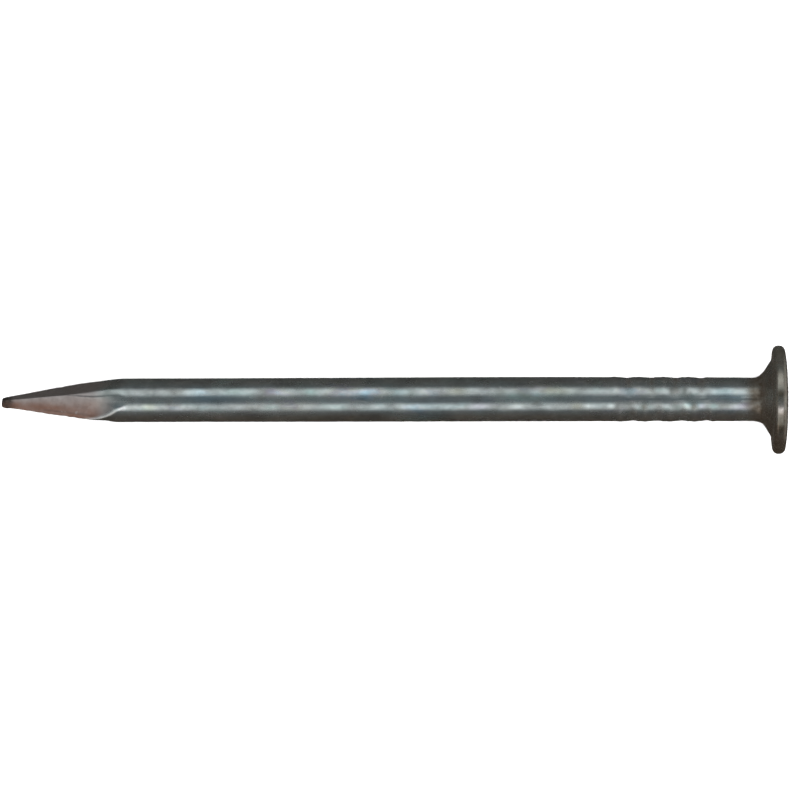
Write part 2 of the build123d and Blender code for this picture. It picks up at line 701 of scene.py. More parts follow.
STAIN_AND_LIGHT_PATCHES = (
    # Darkens the tip.
    StainAndLightPatch(-44.15, -20.0, 0.30, 50.0, Tone.DARK_AND_SHADE, 0.0),
    # Painted highlight: the bright flare where the point's shoulder runs into the wire.
    StainAndLightPatch(-38.9, -14.0, 0.60, 18.0, Tone.PAINTED_HIGHLIGHT, -0.6),
    StainAndLightPatch(-38.3, 12.0, 0.80, 14.0, Tone.PAINTED_HIGHLIGHT, -0.9),
    StainAndLightPatch(-37.5, -20.0, 0.28, 13.0, Tone.CLEAR, 1.0),
    StainAndLightPatch(-37.5, -21.0, 0.28, 13.0, Tone.PAINTED_HIGHLIGHT, 1.0),
    StainAndLightPatch(-35.9, -18.0, 0.40, 14.0, Tone.STRAW, 0.6),
    StainAndLightPatch(-34.5, 24.0, 0.60, 16.0, Tone.SMOKE, -0.2),
    StainAndLightPatch(-33.0, 22.0, 0.55, 15.0, Tone.SKY, 0.7),
    StainAndLightPatch(-32.3, 3.0, 1.10, 12.0, Tone.INK, -0.3),
    StainAndLightPatch(-31.0, 22.0, 0.60, 14.0, Tone.SEA, 0.4),
    StainAndLightPatch(-29.6, -18.0, 0.90, 15.0, Tone.SMOKE, -0.35),
    StainAndLightPatch(-28.9, 24.0, 0.35, 14.0, Tone.LILAC, -0.5),
    StainAndLightPatch(-27.4, -20.0, 0.50, 14.0, Tone.SMOKE, -0.4),
    StainAndLightPatch(-26.6, 22.0, 0.30, 13.0, Tone.SEA, 0.4),
    StainAndLightPatch(-23.4, 20.0, 0.50, 14.0, Tone.SKY, 0.6),
    StainAndLightPatch(-23.4, 3.0, 0.60, 10.0, Tone.INK, -0.4),
    StainAndLightPatch(-21.0, 22.0, 0.50, 14.0, Tone.CLEAR, 0.35),
    StainAndLightPatch(-20.2, -19.0, 1.20, 17.0, Tone.SKY, 0.7),
    StainAndLightPatch(-20.0, -48.0, 1.30, 14.0, Tone.INK, 0.0),
    StainAndLightPatch(-18.2, 22.0, 0.60, 15.0, Tone.STRAW, -0.6),
    StainAndLightPatch(-16.9, -19.0, 0.50, 13.0, Tone.LILAC, 0.9),
    StainAndLightPatch(-14.7, -18.0, 0.22, 9.0, Tone.CLEAR, 1.0),
    StainAndLightPatch(-14.0, 6.0, 2.20, 15.0, Tone.SEA, -0.3),
    StainAndLightPatch(-12.6, 23.0, 1.00, 15.0, Tone.STRAW, -0.5),
    StainAndLightPatch(-12.4, -18.0, 0.50, 14.0, Tone.SMOKE, -0.6),
    StainAndLightPatch(-11.3, -19.0, 0.35, 12.0, Tone.STRAW, -0.5),
    StainAndLightPatch(-10.6, -18.0, 0.22, 9.0, Tone.PAINTED_HIGHLIGHT, 0.5),
    StainAndLightPatch(-9.3, -18.0, 0.20, 9.0, Tone.PAINTED_HIGHLIGHT, 0.6),
    StainAndLightPatch(-8.9, -18.0, 0.24, 14.0, Tone.SMOKE, -0.9),
    StainAndLightPatch(-8.3, 22.0, 0.35, 13.0, Tone.SKY, 0.5),
    StainAndLightPatch(-7.4, -21.0, 0.22, 13.0, Tone.DARK_AND_SHADE, -0.5),
    StainAndLightPatch(-6.8, -19.0, 0.25, 9.0, Tone.CLEAR, 0.6),
    StainAndLightPatch(-6.2, -19.0, 0.22, 9.0, Tone.CLEAR, 0.9),
    StainAndLightPatch(-6.2, 21.0, 0.24, 11.0, Tone.CLEAR, 0.9),
    StainAndLightPatch(-5.86, 23.0, 0.16, 12.0, Tone.SMOKE, -0.9),
    StainAndLightPatch(-5.55, -20.0, 0.28, 14.0, Tone.SMOKE, -0.9),
    StainAndLightPatch(-5.1, 24.0, 0.16, 13.0, Tone.SMOKE, -0.9),
    StainAndLightPatch(-5.0, -19.0, 0.18, 9.0, Tone.PAINTED_HIGHLIGHT, 0.8),
    StainAndLightPatch(-4.7, 20.0, 0.22, 11.0, Tone.CLEAR, 0.9),
    StainAndLightPatch(-4.56, -20.0, 0.18, 13.0, Tone.DARK_AND_SHADE, -0.5),
    StainAndLightPatch(-4.1, -19.0, 0.20, 9.0, Tone.LILAC, 0.9),
    StainAndLightPatch(-3.4, -19.0, 0.22, 9.0, Tone.SEA, 0.8),
    StainAndLightPatch(-2.8, 22.0, 0.60, 14.0, Tone.SKY, 0.9),
    StainAndLightPatch(-2.5, 3.0, 0.80, 10.0, Tone.INK, -0.5),
    StainAndLightPatch(-2.3, -20.0, 0.30, 11.0, Tone.CLEAR, 1.0),
    StainAndLightPatch(-1.6, -19.0, 0.35, 14.0, Tone.LILAC, -0.3),
    # Film tints round the back of the wire.
    StainAndLightPatch(-24.0, 120.0, 1.50, 30.0, Tone.SKY, 0.5),
    StainAndLightPatch(-15.0, 160.0, 2.00, 40.0, Tone.STRAW, -0.5),
    StainAndLightPatch(-30.0, 200.0, 1.80, 35.0, Tone.INK, 0.3),
    StainAndLightPatch(-10.5, 235.0, 1.20, 30.0, Tone.LILAC, 0.5),
    StainAndLightPatch(-20.5, 275.0, 1.60, 28.0, Tone.SEA, -0.4),
    # Painted highlights and shade on the head's rim.
    StainAndLightPatch(0.35, 6.0, 0.24, 5.0, Tone.DARK_AND_SHADE, -0.3),
    StainAndLightPatch(0.37, -11.0, 0.22, 5.0, Tone.LILAC, 1.0),
    StainAndLightPatch(0.37, -11.0, 0.22, 4.5, Tone.PAINTED_HIGHLIGHT, 1.0),
    StainAndLightPatch(0.35, -22.0, 0.24, 5.0, Tone.SMOKE, -0.8),
    StainAndLightPatch(0.35, -32.0, 0.24, 9.0, Tone.DARK_AND_SHADE, -0.5),
    StainAndLightPatch(0.35, 62.0, 0.24, 14.0, Tone.PAINTED_HIGHLIGHT, 1.0),
)


# ==== Shader building ====


class Kind(Enum):
    """Socket types that the shader groups use."""

    VALUE = "NodeSocketFloat"
    COLOUR = "NodeSocketColor"
    VECTOR = "NodeSocketVector"


@dataclass
class Graph:
    """Short way to add and join nodes in one node tree."""

    tree: Tree

    def add(self, kind: str, **settings: Any) -> bpy.types.Node:
        """Adds a node and sets its properties.

        Args:
            kind: the node's type, without its ShaderNode prefix.
            settings: property to value.

        Returns:
            The node.
        """
        node = self.tree.nodes.new("ShaderNode" + kind)
        for name, value in settings.items():
            setattr(node, name, value)
        return node

    def put(self, socket: Socket, value: Any) -> None:
        """Joins value to socket if it is a socket, and sets it otherwise.

        Args:
            socket: an input.
            value: an output, a number, a vector, or a colour without its alpha.
        """
        if isinstance(value, Socket):
            self.tree.links.new(value, socket)
        elif socket.type == "RGBA":
            socket.default_value = (*value, 1.0)
        else:
            socket.default_value = value

    def fed(self, kind: str, feeds: dict[int | str, Any], out: int = 0, **settings: Any) -> Socket:
        """Adds a node, feeds its inputs and gives one of its outputs.

        Args:
            kind: the node's type, without its ShaderNode prefix.
            feeds: number or name of each input to a socket or a value.
            out: number of the output.
            settings: property to value.

        Returns:
            The output.
        """
        node = self.add(kind, **settings)
        for name, value in feeds.items():
            self.put(node.inputs[name], value)
        return node.outputs[out]

    def maths(self, operation: str, a: Any, b: Any, clamp: bool = False) -> Socket:
        """Result of one arithmetic step on a and b."""
        return self.fed("Math", {0: a, 1: b}, operation=operation, use_clamp=clamp)

    def mix(self, share: Any, a: Any, b: Any) -> Socket:
        """Colour a where share is 0 and colour b where it is 1."""
        return self.fed("Mix", {0: share, 6: a, 7: b}, out=2, data_type="RGBA")

    def times(self, a: Any, b: Any) -> Socket:
        """Colour a multiplied by colour b."""
        return self.fed("Mix", {0: 1.0, 6: a, 7: b}, out=2, data_type="RGBA", blend_type="MULTIPLY")

    def blend(self, share: Any, a: Any, b: Any) -> Socket:
        """Value a where share is 0 and value b where it is 1."""
        return self.fed("Mix", {0: share, 2: a, 3: b}, data_type="FLOAT")

    def span(self, value: Any, low: float, high: float, start: float = 0.0, end: float = 1.0) -> Socket:
        """Value moved from the range low..high to start..end, and held there."""
        return self.fed("MapRange", dict(enumerate((value, low, high, start, end))), clamp=True)

    def placed(self, vector: Any, scale: Colour, shift: Colour = ORIGIN, turn: float = 0.0) -> Socket:
        """Coordinates scaled along each axis, turned about Z by degrees, then shifted."""
        turned = (0.0, 0.0, radians(turn))
        return self.fed("Mapping", {"Vector": vector, "Location": shift, "Rotation": turned, "Scale": scale})

    def noise(self, vector: Any, scale: Any, detail: float, rough: float) -> Socket:
        """Fractal noise, from 0 to 1."""
        feeds = {"Vector": vector, "Scale": scale, "Detail": detail, "Roughness": rough}
        return self.fed("TexNoise", feeds)

    def grain(
        self, vector: Any, scale: Colour, detail: float, rough: float, shift: Colour = ORIGIN
    ) -> Socket:
        """Fractal noise with scale features per metre along each axis. shift sets two noises apart."""
        return self.noise(self.placed(vector, scale, shift), 1.0, detail, rough)

    def ramp(self, value: Any, stops: tuple[tuple[float, Colour], ...]) -> Socket:
        """Colour read from a ramp.

        Args:
            value: where to read it, from 0 to 1.
            stops: place and colour of each stop.

        Returns:
            The colour.
        """
        node = self.add("ValToRGB")
        self.put(node.inputs[0], value)
        elements = node.color_ramp.elements
        while len(elements) < len(stops):
            elements.new(0.5)
        for element, (place, colour) in zip(elements, stops):
            element.position = place
            element.color = (*colour, 1.0)
        return node.outputs[0]

    def mask(self, name: str) -> Socket:
        """A mask that the mesh carries as an attribute."""
        return self.add("Attribute", attribute_name=name).outputs["Fac"]

    def tone(self, name: str) -> Socket:
        """A colour that the mesh carries as an attribute."""
        return self.add("Attribute", attribute_name=name).outputs["Color"]

    def use(self, group: Tree, **values: Any) -> bpy.types.Node:
        """Places a node group with its own values.

        Args:
            group: the group.
            values: input to value. An underscore in a name stands for a space.

        Returns:
            The group's node.
        """
        node = self.add("Group", node_tree=group)
        for name, value in values.items():
            self.put(node.inputs[name.replace("_", " ")], value)
        return node


def new_group(
    name: str, inputs: dict[str, tuple[Kind, Any]], outputs: dict[str, Kind]
) -> tuple[Tree, Graph, Any, Any]:
    """Starts a shader node group with named sockets.

    Args:
        name: the group's name.
        inputs: socket name to its type and default value.
        outputs: socket name to its type.

    Returns:
        The group, its graph, its input node's sockets and its output node's sockets.
    """
    tree = bpy.data.node_groups.new(name, "ShaderNodeTree")
    for label, (kind, value) in inputs.items():
        socket = tree.interface.new_socket(name=label, in_out="INPUT", socket_type=kind.value)
        if value is not None:
            socket.default_value = value
    for label, kind in outputs.items():
        tree.interface.new_socket(name=label, in_out="OUTPUT", socket_type=kind.value)
    entry = tree.nodes.new("NodeGroupInput")
    leave = tree.nodes.new("NodeGroupOutput")
    return tree, Graph(tree), entry.outputs, leave.inputs


def emptied(owner: bpy.types.Material | bpy.types.World) -> Graph:
    """Gives a material or world an empty node tree.

    Args:
        owner: what to give it to.

    Returns:
        The tree's graph.
    """
    owner.use_nodes = True
    owner.node_tree.nodes.clear()
    return Graph(owner.node_tree)


def make_drawn_lines() -> Tree:
    """Fine lines that the drawing die leaves along the wire: noise stretched along X at two widths.

    Returns:
        The group.
    """
    tree, g, given, out = new_group(
        "drawn_lines",
        {"Vector": (Kind.VECTOR, None), "Contrast": (Kind.VALUE, 1.0)},
        {"Lines": Kind.VALUE, "Height": Kind.VALUE},
    )
    fine = g.grain(given["Vector"], (190.0, 9500.0, 9500.0), 2.0, 0.5)
    broad = g.grain(given["Vector"], (90.0, 2600.0, 2600.0), 2.0, 0.5, (3.1, 0.0, 0.0))
    both = g.blend(0.45, fine, broad)
    centred = g.maths("MULTIPLY", g.maths("SUBTRACT", both, 0.5), given["Contrast"])
    g.put(out["Lines"], g.maths("ADD", centred, 0.5, clamp=True))
    g.put(out["Height"], both)
    return tree


def make_film() -> Tree:
    """Thin oil and oxide film: patches a few millimetres long whose tint drifts from teal to violet.

    Gleam is a second noise, with patches under a millimetre long, for places rubbed bright or dull.

    Returns:
        The group.
    """
    tree, g, given, out = new_group(
        "oil_film",
        {"Vector": (Kind.VECTOR, None), "Strength": (Kind.VALUE, 1.0)},
        {"Tint": Kind.COLOUR, "Film": Kind.VALUE, "Gleam": Kind.VALUE},
    )
    gleam = g.grain(given["Vector"], (950.0, 1250.0, 1250.0), 2.0, 0.5, (0.4, 5.5, 9.2))
    g.put(out["Gleam"], g.span(gleam, 0.30, 0.70))
    patches = g.grain(given["Vector"], (330.0, 800.0, 800.0), 4.0, 0.6, (1.7, 4.2, 0.3))
    drift = g.grain(given["Vector"], (520.0, 1100.0, 1100.0), 3.0, 0.55, (7.9, 1.1, 2.6))
    tint = g.ramp(
        g.span(drift, 0.30, 0.70),
        (
            (0.00, (0.78, 0.95, 0.97)),
            (0.28, (0.92, 1.00, 0.97)),
            (0.50, (1.00, 1.00, 1.00)),
            (0.66, (1.00, 0.98, 0.92)),
            (0.82, (0.99, 0.92, 0.99)),
            (1.00, (0.82, 0.91, 1.00)),
        ),
    )
    share = g.maths("MULTIPLY", g.span(patches, 0.36, 0.66), given["Strength"], clamp=True)
    g.put(out["Tint"], g.mix(share, (1.0, 1.0, 1.0), tint))
    g.put(out["Film"], share)
    return tree


def make_scuffs() -> Tree:
    """Handling scuffs: short slanted scratches and small nicks, as thresholds of stretched noise.

    Returns:
        The group.
    """
    tree, g, given, out = new_group(
        "scuffs",
        {"Vector": (Kind.VECTOR, None), "Amount": (Kind.VALUE, 0.5)},
        {"Mask": Kind.VALUE, "Height": Kind.VALUE},
    )
    slanted = g.placed(given["Vector"], (700.0, 7000.0, 2600.0), turn=24.0)
    scratches = g.span(g.noise(slanted, 1.0, 2.0, 0.5), 0.66, 0.74)
    nicks = g.span(g.grain(given["Vector"], (3600.0,) * 3, 1.0, 0.4, (5.0, 2.0, 8.0)), 0.70, 0.78)
    both = g.maths("MULTIPLY", g.maths("MAXIMUM", scratches, nicks), given["Amount"], clamp=True)
    g.put(out["Mask"], both)
    g.put(out["Height"], g.maths("SUBTRACT", 1.0, both))
    return tree


def make_die_texture() -> Tree:
    """Texture pressed in by a forging or pinching die: mottled scale with pits.

    Returns:
        The group.
    """
    tree, g, given, out = new_group(
        "die_texture",
        {
            "Vector": (Kind.VECTOR, None),
            "Grain": (Kind.VALUE, 4500.0),
            "Stretch": (Kind.VECTOR, (1.0, 1.0, 1.0)),
        },
        {"Mottle": Kind.VALUE, "Height": Kind.VALUE},
    )
    pulled = g.fed("VectorMath", {0: given["Vector"], 1: given["Stretch"]}, operation="MULTIPLY")
    mottle = g.noise(pulled, given["Grain"], 5.0, 0.62)
    finer = g.maths("MULTIPLY", given["Grain"], 1.6)
    distance = g.fed("TexVoronoi", {"Vector": pulled, "Scale": finer}, feature="F1")
    pits = g.span(distance, 0.10, 0.34, 1.0, 0.0)
    thinned = g.maths("MULTIPLY", pits, g.span(mottle, 0.46, 0.60))
    g.put(out["Mottle"], mottle)
    g.put(out["Height"], g.maths("SUBTRACT", mottle, g.maths("MULTIPLY", thinned, 0.6)))
    return tree


def make_grime() -> Tree:
    """Dark drawing soap and oxide caught in hollows, broken up by noise.

    Returns:
        The group.
    """
    tree, g, given, out = new_group(
        "grime",
        {"Vector": (Kind.VECTOR, None), "Hollow": (Kind.VALUE, 0.0), "Haze": (Kind.VALUE, 0.1)},
        {"Mask": Kind.VALUE},
    )
    breakup = g.grain(given["Vector"], (2400.0, 3600.0, 3600.0), 4.0, 0.6, (2.0, 6.0, 1.0))
    caught = g.maths("MULTIPLY", given["Hollow"], g.span(breakup, 0.30, 0.58, 0.35, 1.0))
    haze = g.maths("MULTIPLY", given["Haze"], g.span(breakup, 0.48, 0.68))
    g.put(out["Mask"], g.maths("ADD", caught, haze, clamp=True))
    return tree


def make_edge_wear_and_highlight() -> Tree:
    """Bright rubbed metal along edges and crests, broken up by noise, and a painted highlight where the mask
    marks the point's lower border.

    Returns:
        The group.
    """
    tree, g, given, out = new_group(
        "edge_wear",
        {"Vector": (Kind.VECTOR, None), "Edge": (Kind.VALUE, 0.0), "Amount": (Kind.VALUE, 0.7)},
        {"Mask": Kind.VALUE},
    )
    breakup = g.grain(given["Vector"], (2600.0, 3000.0, 3000.0), 3.0, 0.6, (9.0, 3.0, 5.0))
    strong = g.maths("MULTIPLY", given["Edge"], g.span(breakup, 0.34, 0.56))
    g.put(out["Mask"], g.maths("MULTIPLY", strong, given["Amount"], clamp=True))
    return tree


def make_relief() -> Tree:
    """Adds two heights, each times its own depth, into one for a Bump node.

    Returns:
        The group.
    """
    tree, g, given, out = new_group(
        "relief",
        {
            "First": (Kind.VALUE, 0.5),
            "First Depth": (Kind.VALUE, 1.0),
            "Second": (Kind.VALUE, 0.5),
            "Second Depth": (Kind.VALUE, 1.0),
        },
        {"Height": Kind.VALUE},
    )
    first = g.maths("MULTIPLY", given["First"], given["First Depth"])
    second = g.maths("MULTIPLY", given["Second"], given["Second Depth"])
    g.put(out["Height"], g.maths("ADD", first, second))
    return tree


@dataclass
class Effects:
    """The shader node groups that the nail's finishes share, each built once."""

    drawn_lines: Tree = field(default_factory=make_drawn_lines)
    film: Tree = field(default_factory=make_film)
    scuffs: Tree = field(default_factory=make_scuffs)
    die_texture: Tree = field(default_factory=make_die_texture)
    grime: Tree = field(default_factory=make_grime)
    edge_wear: Tree = field(default_factory=make_edge_wear_and_highlight)
    relief: Tree = field(default_factory=make_relief)


@dataclass(frozen=True)
class WireFinish:
    """Bright drawn wire: satin steel with lines along it, a thin tinted film and light scuffs.

    scuffs, edges and haze are how strongly the shared wear shows, the edges with a painted highlight along
    the point's lower border, and the depths are in micrometres.
    """

    steel: Colour = (0.60, 0.63, 0.63)
    dull: Colour = (0.50, 0.53, 0.53)
    patch_dull: Colour = (0.66, 0.66, 0.65)
    patch_bright: Colour = (1.28, 1.29, 1.29)
    # Rubbed metal, and the colour of the painted highlight along the point's lower border.
    rubbed_and_highlight: Colour = (0.74, 0.75, 0.74)
    grime: Colour = (0.180, 0.150, 0.120)
    smooth: float = 0.19
    rough: float = 0.27
    dull_rough: float = 0.13
    line_contrast: float = 1.6
    film_strength: float = 0.9
    scuffs: float = 0.35
    edges: float = 0.90
    haze: float = 0.05
    depth: float = 0.9


@dataclass(frozen=True)
class DieFinish:
    """Steel shaped by a die: darker, mottled and rougher, with a warm oxide bloom, which on the lower side is
    also a painted warm reflection.

    scuffs, edges and haze are how strongly the shared wear shows, the edges with a painted highlight along
    the point's lower border, and depth is in micrometres.
    """

    steel: Colour
    dark: Colour
    rubbed_and_highlight: Colour
    grime: Colour
    bloom: Colour
    bloom_share: float
    lower_bloom_and_reflection_share: float
    grain: float
    stretch: Colour
    smooth: float
    rough: float
    depth: float
    scuffs: float = 0.22
    edges: float = 0.80
    haze: float = 0.15


# The bloom colour is oxide in random patches, and on the lower side a painted warm reflection.
HEAD_FINISH = DieFinish(
    steel=(0.50, 0.49, 0.44),
    dark=(0.32, 0.29, 0.25),
    rubbed_and_highlight=(0.60, 0.58, 0.50),
    grime=(0.150, 0.120, 0.090),
    bloom=(0.24, 0.15, 0.10),
    bloom_share=0.30,
    lower_bloom_and_reflection_share=0.55,
    grain=2600.0,
    stretch=(1.0, 1.0, 1.0),
    smooth=0.20,
    rough=0.33,
    depth=1.6,
)
POINT_FINISH = DieFinish(
    steel=(0.50, 0.46, 0.45),
    dark=(0.40, 0.36, 0.35),
    # Rubbed metal, and the colour of the painted highlight along the point's lower border.
    rubbed_and_highlight=(0.66, 0.64, 0.61),
    grime=(0.070, 0.055, 0.050),
    bloom=(0.27, 0.15, 0.11),
    bloom_share=0.16,
    lower_bloom_and_reflection_share=1.00,
    grain=1500.0,
    stretch=(1.4, 0.9, 0.9),
    smooth=0.29,
    rough=0.39,
    depth=1.2,
)


@dataclass
class Coat:
    """What a finish gives the shader: colour, roughness, metal share, and height in micrometres."""

    colour: Socket
    rough: Socket
    metal: Socket
    height: Socket

    def turning_into(self, g: Graph, mask: Socket, other: "Coat") -> "Coat":
        """This coat where mask is 0, and the other where it is 1."""
        values = (g.blend(mask, getattr(self, n), getattr(other, n)) for n in ("rough", "metal", "height"))
        return Coat(g.mix(mask, self.colour, other.colour), *values)


@dataclass
class NailMaterials:
    """Builds the nail's materials from the shared effects."""

    effects: Effects
    wire: WireFinish = WireFinish()
    polish_shine: float = 0.07
    grime_rough: float = 0.34
    grime_metal: float = 0.94
    scuff_depth: float = 0.8
    bump_metres: float = 1.0e-6

    def worn(
        self,
        g: Graph,
        vector: Socket,
        finish: WireFinish | DieFinish,
        fresh: Socket,
        tinted: bool,
        rough: Socket,
        height: Socket,
    ) -> Coat:
        """Adds the shared wear to fresh metal: rubbed places with a painted highlight along the point's lower
        border, the tint with its painted highlights and shade, grime and scuffs.

        Args:
            g: the material's graph.
            vector: object coordinates.
            finish: gives the strength and the colours of the wear.
            fresh: the metal's colour before wear.
            tinted: whether fresh already has the tint with its painted highlights and shade, so that rubbed
                places stay free of it.
            rough: the metal's roughness, before grime.
            height: the metal's own relief.

        Returns:
            The finished coat.
        """
        scuffs = g.use(self.effects.scuffs, Vector=vector, Amount=finish.scuffs)
        wear_and_highlight = g.use(self.effects.edge_wear, Vector=vector, Edge=g.mask("edge"), Amount=finish.edges)
        caught = g.use(self.effects.grime, Vector=vector, Hollow=g.mask("hollow"), Haze=finish.haze)
        grime = caught.outputs["Mask"]
        # Scuffs and rubbed edges, with the painted highlight along the point's lower border.
        rubs_and_highlight = g.maths("MAXIMUM", scuffs.outputs["Mask"], wear_and_highlight.outputs["Mask"])
        rubbed_and_highlight = g.mix(rubs_and_highlight, fresh, finish.rubbed_and_highlight)
        if not tinted:
            # The mesh's tint brings the film's tints and the painted highlights and shade.
            rubbed_and_highlight = g.times(rubbed_and_highlight, g.tone("tint"))
        relief = g.use(
            self.effects.relief,
            First=height,
            First_Depth=finish.depth,
            Second=scuffs.outputs["Height"],
            Second_Depth=self.scuff_depth,
        )
        return Coat(
            colour=g.mix(grime, rubbed_and_highlight, finish.grime),
            rough=g.blend(grime, rough, self.grime_rough),
            metal=g.span(grime, 0.0, 1.0, 1.0, self.grime_metal),
            height=relief.outputs["Height"],
        )

    def polished(self, g: Graph, rough: Socket) -> Socket:
        """Roughness made smoother where the mesh is polished."""
        return g.maths("SUBTRACT", rough, g.span(g.mask("polish"), 0.0, 1.0, 0.0, self.polish_shine))

    def wire_coat(self, g: Graph, vector: Socket) -> Coat:
        """Coat of the drawn wire.

        Args:
            g: the material's graph.
            vector: object coordinates.

        Returns:
            The coat.
        """
        w = self.wire
        lines = g.use(self.effects.drawn_lines, Vector=vector, Contrast=w.line_contrast)
        film = g.use(self.effects.film, Vector=vector, Strength=w.film_strength)
        line, gleam = lines.outputs["Lines"], film.outputs["Gleam"]
        base = g.times(g.mix(line, w.dull, w.steel), g.mix(gleam, w.patch_dull, w.patch_bright))
        # The mesh's tint brings the film's tints and the painted highlights and shade along the bands.
        tinted = g.times(g.times(base, film.outputs["Tint"]), g.tone("tint"))
        rough = g.blend(film.outputs["Film"], w.smooth, w.rough)
        rough = g.maths("ADD", rough, g.span(line, 0.2, 0.8, 0.04, -0.03))
        rough = g.maths("ADD", rough, g.span(gleam, 0.0, 1.0, 0.05, -0.03))
        rough = g.maths("ADD", rough, g.span(g.mask("polish"), -1.0, 0.0, w.dull_rough, 0.0))
        return self.worn(g, vector, w, tinted, True, self.polished(g, rough), lines.outputs["Height"])

    def die_coat(self, g: Graph, vector: Socket, finish: DieFinish) -> Coat:
        """Coat of steel shaped by a die.

        Args:
            g: the material's graph.
            vector: object coordinates.
            finish: the finish's own values.

        Returns:
            The coat.
        """
        die = g.use(self.effects.die_texture, Vector=vector, Grain=finish.grain, Stretch=finish.stretch)
        mottle = die.outputs["Mottle"]
        patch = g.grain(vector, (700.0, 1000.0, 1000.0), 4.0, 0.6, (3.3, 8.1, 0.7))
        base = g.mix(g.span(mottle, 0.32, 0.68), finish.dark, finish.steel)
        spread = g.maths("MULTIPLY", g.span(patch, 0.38, 0.66), finish.bloom_share)
        # On the lower side, by the mesh's mask, the warm colour paints a reflection; the spread patches are
        # oxide.
        broken = g.span(patch, 0.30, 0.60, 0.6 * finish.lower_bloom_and_reflection_share, finish.lower_bloom_and_reflection_share)
        lower_bloom_and_reflection = g.maths("MULTIPLY", g.mask("bloom"), broken)
        with_bloom_and_reflection = g.mix(g.maths("MAXIMUM", spread, lower_bloom_and_reflection), base, finish.bloom)
        rough = self.polished(g, g.span(mottle, 0.3, 0.7, finish.rough, finish.smooth))
        return self.worn(g, vector, finish, with_bloom_and_reflection, False, rough, die.outputs["Height"])

    def shaded(self, name: str, dies: tuple[tuple[str, DieFinish], ...] = ()) -> bpy.types.Material:
        """A material of drawn wire that changes to a die's finish by the mesh's masks.

        Args:
            name: the material's name.
            dies: the mask and the finish of each die that reaches this region.

        Returns:
            The material.
        """
        material = bpy.data.materials.new(name)
        g = emptied(material)
        vector = g.add("TexCoord").outputs["Object"]
        coat = self.wire_coat(g, vector)
        for mask, finish in dies:
            coat = coat.turning_into(g, g.mask(mask), self.die_coat(g, vector, finish))
        bump = g.fed("Bump", {"Strength": 1.0, "Distance": self.bump_metres, "Height": coat.height})
        feeds = {
            "Base Color": coat.colour,
            "Roughness": coat.rough,
            "Metallic": coat.metal,
            "Normal": bump,
        }
        g.put(g.add("OutputMaterial").inputs[0], g.fed("BsdfPrincipled", feeds))
        return material

    def all(self) -> list[bpy.types.Material]:
        """The materials in the order of the mesh's regions: head, shank, point."""
        return [
            self.shaded("upset_head", (("upset", HEAD_FINISH),)),
            self.shaded("drawn_wire"),
            self.shaded("pinched_point", (("pinched", POINT_FINISH),)),
        ]


# ==== The nail ====


def linked(name: str, data: bpy.types.ID) -> bpy.types.Object:
    """A new object at the origin, linked to the scene.

    Args:
        name: the object's name.
        data: its mesh, light or camera.

    Returns:
        The object.
    """
    thing = bpy.data.objects.new(name, data)
    bpy.context.scene.collection.objects.link(thing)
    return thing


def write_values(mesh: bpy.types.Mesh, name: str, rings: Array, ends: list[float]) -> None:
    """Writes a mesh attribute with one value per vertex.

    Args:
        mesh: the mesh.
        name: the attribute's name.
        rings: the values of the rings' points, row by row.
        ends: the values of the two end points.
    """
    values = np.concatenate([rings.ravel(), ends]).astype(np.float32)
    mesh.attributes.new(name, "FLOAT", "POINT").data.foreach_set("value", values)


